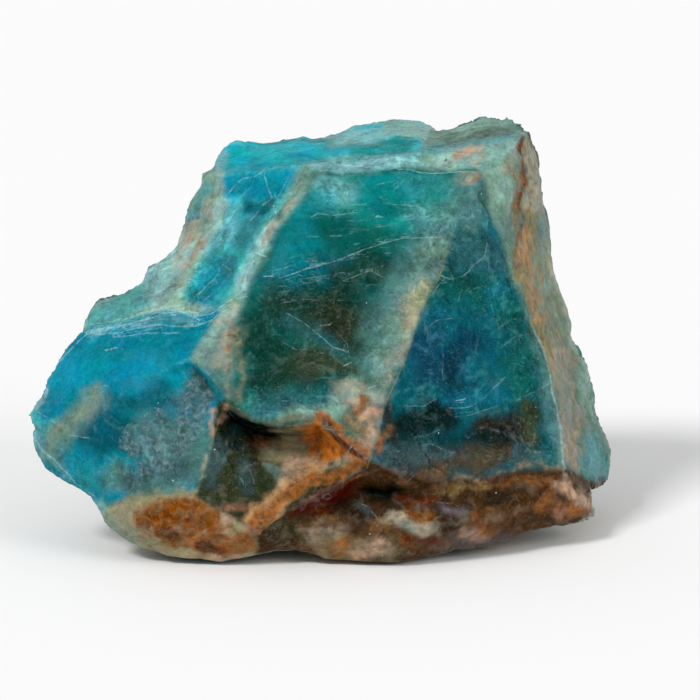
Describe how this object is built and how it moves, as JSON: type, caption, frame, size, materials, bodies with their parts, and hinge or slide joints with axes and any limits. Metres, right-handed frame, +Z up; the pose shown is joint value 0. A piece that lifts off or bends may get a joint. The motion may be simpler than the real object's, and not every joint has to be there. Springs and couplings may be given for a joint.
{
  "type": "raw apatite",
  "caption": "Raw piece of cloudy blue-green apatite: a rough broken lump with flat cleaved faces, ledges and a stained brown underside, resting on a flat foot.",
  "frame": {"origin": "on the ground under the middle of the stone's bounding box", "axes": "+X to the right as the picture shows the stone, +Y away from the camera, +Z up from the flat foot"},
  "size_m": [0.0606, 0.0388, 0.0412],
  "materials": {
    "apatite": "broken surface of a cloudy blue-green mineral, half glossy, with rust and beige stains"
  },
  "bodies": {
    "root": {"raw_apatite": "apatite"}
  },
  "joints": []
}
